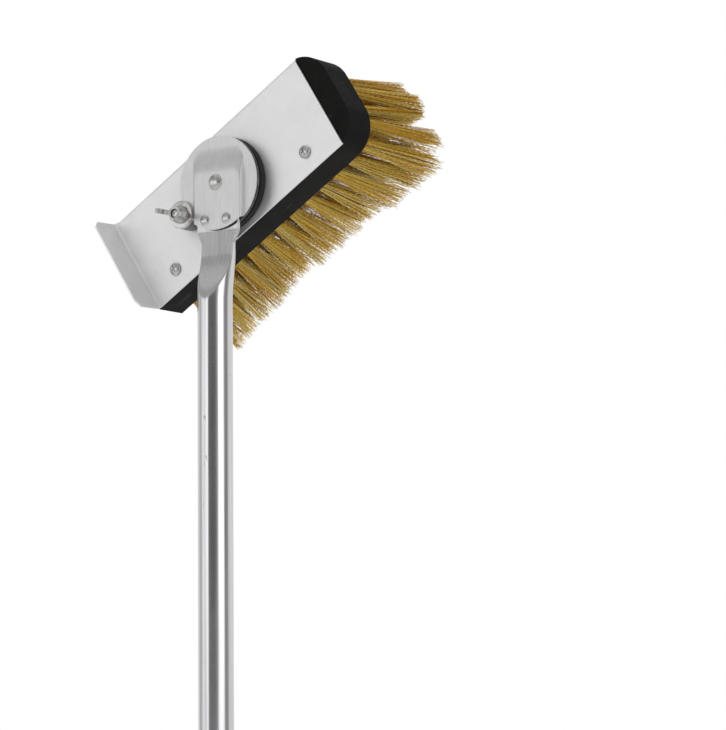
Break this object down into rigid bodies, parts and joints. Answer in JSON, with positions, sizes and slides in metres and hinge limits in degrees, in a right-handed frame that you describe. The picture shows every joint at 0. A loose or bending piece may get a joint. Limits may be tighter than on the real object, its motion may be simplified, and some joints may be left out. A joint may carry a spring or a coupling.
{
  "type": "long-handled wire brush",
  "caption": "Brass-wire brush head with a steel scraper plate, on a disc swivel locked by a wing nut, at the end of a steel tube with a turned wooden grip.",
  "frame": {"origin": "middle of the flat butt face of the wooden grip, on the pole's axis", "axes": "+Z along the pole from the grip to the head; -Y towards the front, the side of the wing nut, and the wires point to +Y; +X to the right as seen from the front"},
  "size_m": [0.237, 0.1453, 1.1853],
  "materials": {
    "polished_steel": "polished",
    "brushed_steel": "satin",
    "dark_steel": "satin",
    "bright_hardware": "polished",
    "varnished_wood": "gloss",
    "black_block": "matte",
    "black_pad": "matte",
    "brass_wire": "satin"
  },
  "bodies": {
    "pole": {"pole_tube": "polished_steel", "grip": "varnished_wood", "grip_screw": "bright_hardware", "swivel_disc": "brushed_steel", "rear_disc": "dark_steel", "disc_rivet_left": "bright_hardware", "disc_rivet_right": "bright_hardware", "pivot_rivet": "bright_hardware"},
    "head": {"friction_puck": "black_pad", "scraper_plate": "polished_steel", "plate_screw_lip_end": "bright_hardware", "plate_screw_nose_end": "bright_hardware", "backing_block": "black_block", "pivot_washer": "dark_steel", "clamp_stud": "bright_hardware", "clamp_heel": "dark_steel", "bristle_row_1": "brass_wire", "bristle_row_2": "brass_wire", "bristle_row_3": "brass_wire", "bristle_row_4": "brass_wire", "bristle_row_5": "brass_wire"},
    "clamp": {"clamp_washer": "bright_hardware"},
    "wing_nut": {"wing_nut": "bright_hardware"}
  },
  "joints": [
    {"name": "head_swivel", "type": "hinge", "parent": "pole", "child": "head", "pos_m": [0, 0, 1.1], "axis": [0, -1, 0], "range_deg": [-244, 0]},
    {"name": "clamp_travel", "type": "slide", "parent": "head", "child": "clamp", "axis": [0, -1, 0], "range_m": [0, 0.00176]},
    {"name": "wing_nut_turn", "type": "hinge", "parent": "clamp", "child": "wing_nut", "pos_m": [-0.0317, 0, 1.07996], "axis": [0, -1, 0], "range_deg": [0, 630]}
  ],
  "couplings": [
    {"joint": "clamp_travel", "follows": "wing_nut_turn", "m_per_rad": 0.00015915}
  ]
}
